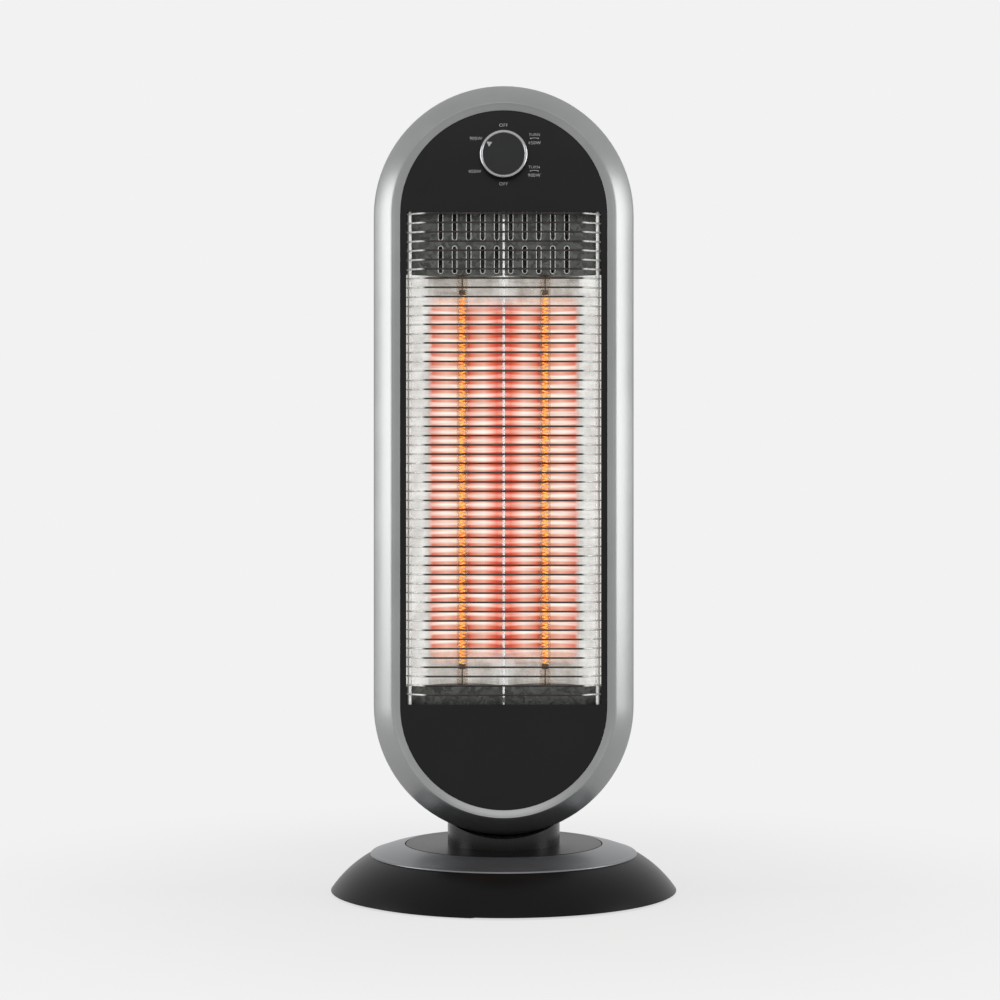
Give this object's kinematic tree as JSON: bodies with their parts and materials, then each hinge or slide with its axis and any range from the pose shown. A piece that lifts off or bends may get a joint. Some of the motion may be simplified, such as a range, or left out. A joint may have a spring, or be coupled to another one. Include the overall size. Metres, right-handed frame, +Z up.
{
  "type": "free-standing carbon heater",
  "caption": "Free-standing carbon heater with an upright stadium-shaped tower, glowing quartz tubes behind a wire guard, a control knob and a round swivel base.",
  "frame": {"origin": "on the floor, at the centre of the round base, under the swivel axis", "axes": "+Z up, front of the heater faces -Y, +X to the right when seen from the front"},
  "size_m": [0.28, 0.28, 0.65],
  "materials": {
    "base_black": "gloss black moulded plastic",
    "tower_black": "gloss black moulded plastic",
    "panel_black": "gloss black moulded plastic",
    "frame_silver": "satin silver lacquer",
    "trim_silver": "satin silver lacquer",
    "knob_black": "gloss black moulded plastic",
    "knob_silver": "satin silver lacquer",
    "pointer_grey": "satin silver lacquer",
    "wire_dark": "dark nickel-plated wire",
    "upright_bright": "bright nickel-plated wire",
    "reflector_bright": "polished reflector sheet",
    "plate_galvanised": "mottled galvanised sheet",
    "shield_galvanised": "galvanised sheet",
    "bracket_steel": "galvanised sheet",
    "quartz_glass": "clear quartz",
    "carbon_glow": "glowing carbon element",
    "lead_steel": "bare metal lead",
    "cap_ceramic": "unglazed ceramic",
    "switch_grey": "matt moulded plastic",
    "terminal_white": "matt moulded plastic",
    "cutout_black": "matt moulded plastic",
    "gland_black": "matt moulded plastic",
    "plate_grey": "matt moulded plastic",
    "pad_rubber": "matt rubber",
    "slip_white": "low-friction plastic",
    "carrier_white": "matt moulded plastic",
    "arm_steel": "zinc-plated steel",
    "motor_steel": "zinc-plated can",
    "crank_plastic": "low-friction plastic",
    "shaft_steel": "bright steel",
    "screw_steel": "zinc-plated steel",
    "screw_black": "blackened steel",
    "spring_steel": "spring steel"
  },
  "bodies": {
    "base": {"base_shell": "base_black", "base_trim_ring": "trim_silver", "base_plate": "plate_grey", "foot_pads": "pad_rubber", "base_screws": "screw_steel", "cord_gland": "gland_black", "swivel_carrier": "carrier_white", "carrier_screws": "screw_steel", "slip_ring": "slip_white", "swing_motor": "motor_steel", "motor_screws": "screw_steel", "tip_switch_body": "switch_grey", "tip_switch_spring": "spring_steel"},
    "tower": {"swing_arm": "arm_steel", "arm_screws": "screw_steel", "spigot_clip": "spring_steel", "turntable_disc": "base_black", "neck_collar": "tower_black", "neck_screws": "screw_steel", "rear_housing": "tower_black", "front_frame": "frame_silver", "housing_screws": "screw_black", "front_panel": "panel_black", "guard_wires": "wire_dark", "guard_uprights": "upright_bright", "heat_shield": "shield_galvanised", "shield_screws": "screw_steel", "panel_clips": "bracket_steel", "clip_screws": "screw_steel", "reflector": "reflector_bright", "vent_plate": "plate_galvanised", "bottom_plate": "plate_galvanised", "quartz_tube_left": "quartz_glass", "quartz_tube_right": "quartz_glass", "filament_left": "carbon_glow", "filament_right": "carbon_glow", "tube_caps": "cap_ceramic", "tube_leads": "lead_steel", "tube_brackets": "bracket_steel", "switch_bracket": "bracket_steel", "bracket_screws": "screw_steel", "rotary_switch": "switch_grey", "thermal_cutout": "cutout_black", "terminal_block": "terminal_white"},
    "crank": {"motor_shaft": "shaft_steel", "swing_crank": "crank_plastic", "crank_pin": "shaft_steel"},
    "knob": {"knob": "knob_black", "knob_ring": "knob_silver", "knob_pointer": "pointer_grey", "switch_shaft": "shaft_steel"},
    "tip_plunger": {"tip_switch_plunger": "crank_plastic"}
  },
  "joints": [
    {"name": "tower_swing", "type": "hinge", "parent": "base", "child": "tower", "pos_m": [0, 0, 0.03], "axis": [0, 0, 1], "range_deg": [-30, 30]},
    {"name": "crank_turn", "type": "hinge", "parent": "base", "child": "crank", "pos_m": [0, -0.042, 0.028], "axis": [0, 0, 1], "range_deg": [-100.5, 100.5]},
    {"name": "knob_turn", "type": "hinge", "parent": "tower", "child": "knob", "pos_m": [0, -0.047, 0.5917], "axis": [0, -1, 0], "continuous": true},
    {"name": "tip_switch_drop", "type": "slide", "parent": "base", "child": "tip_plunger", "axis": [0, 0, 1], "range_m": [-0.004, 0], "stiffness_N_per_m": 200, "springref_m": -0.004, "deforming": ["tip_switch_spring"]}
  ],
  "couplings": [
    {"joint": "crank_turn", "follows": "tower_swing", "ratio": 3.35}
  ]
}
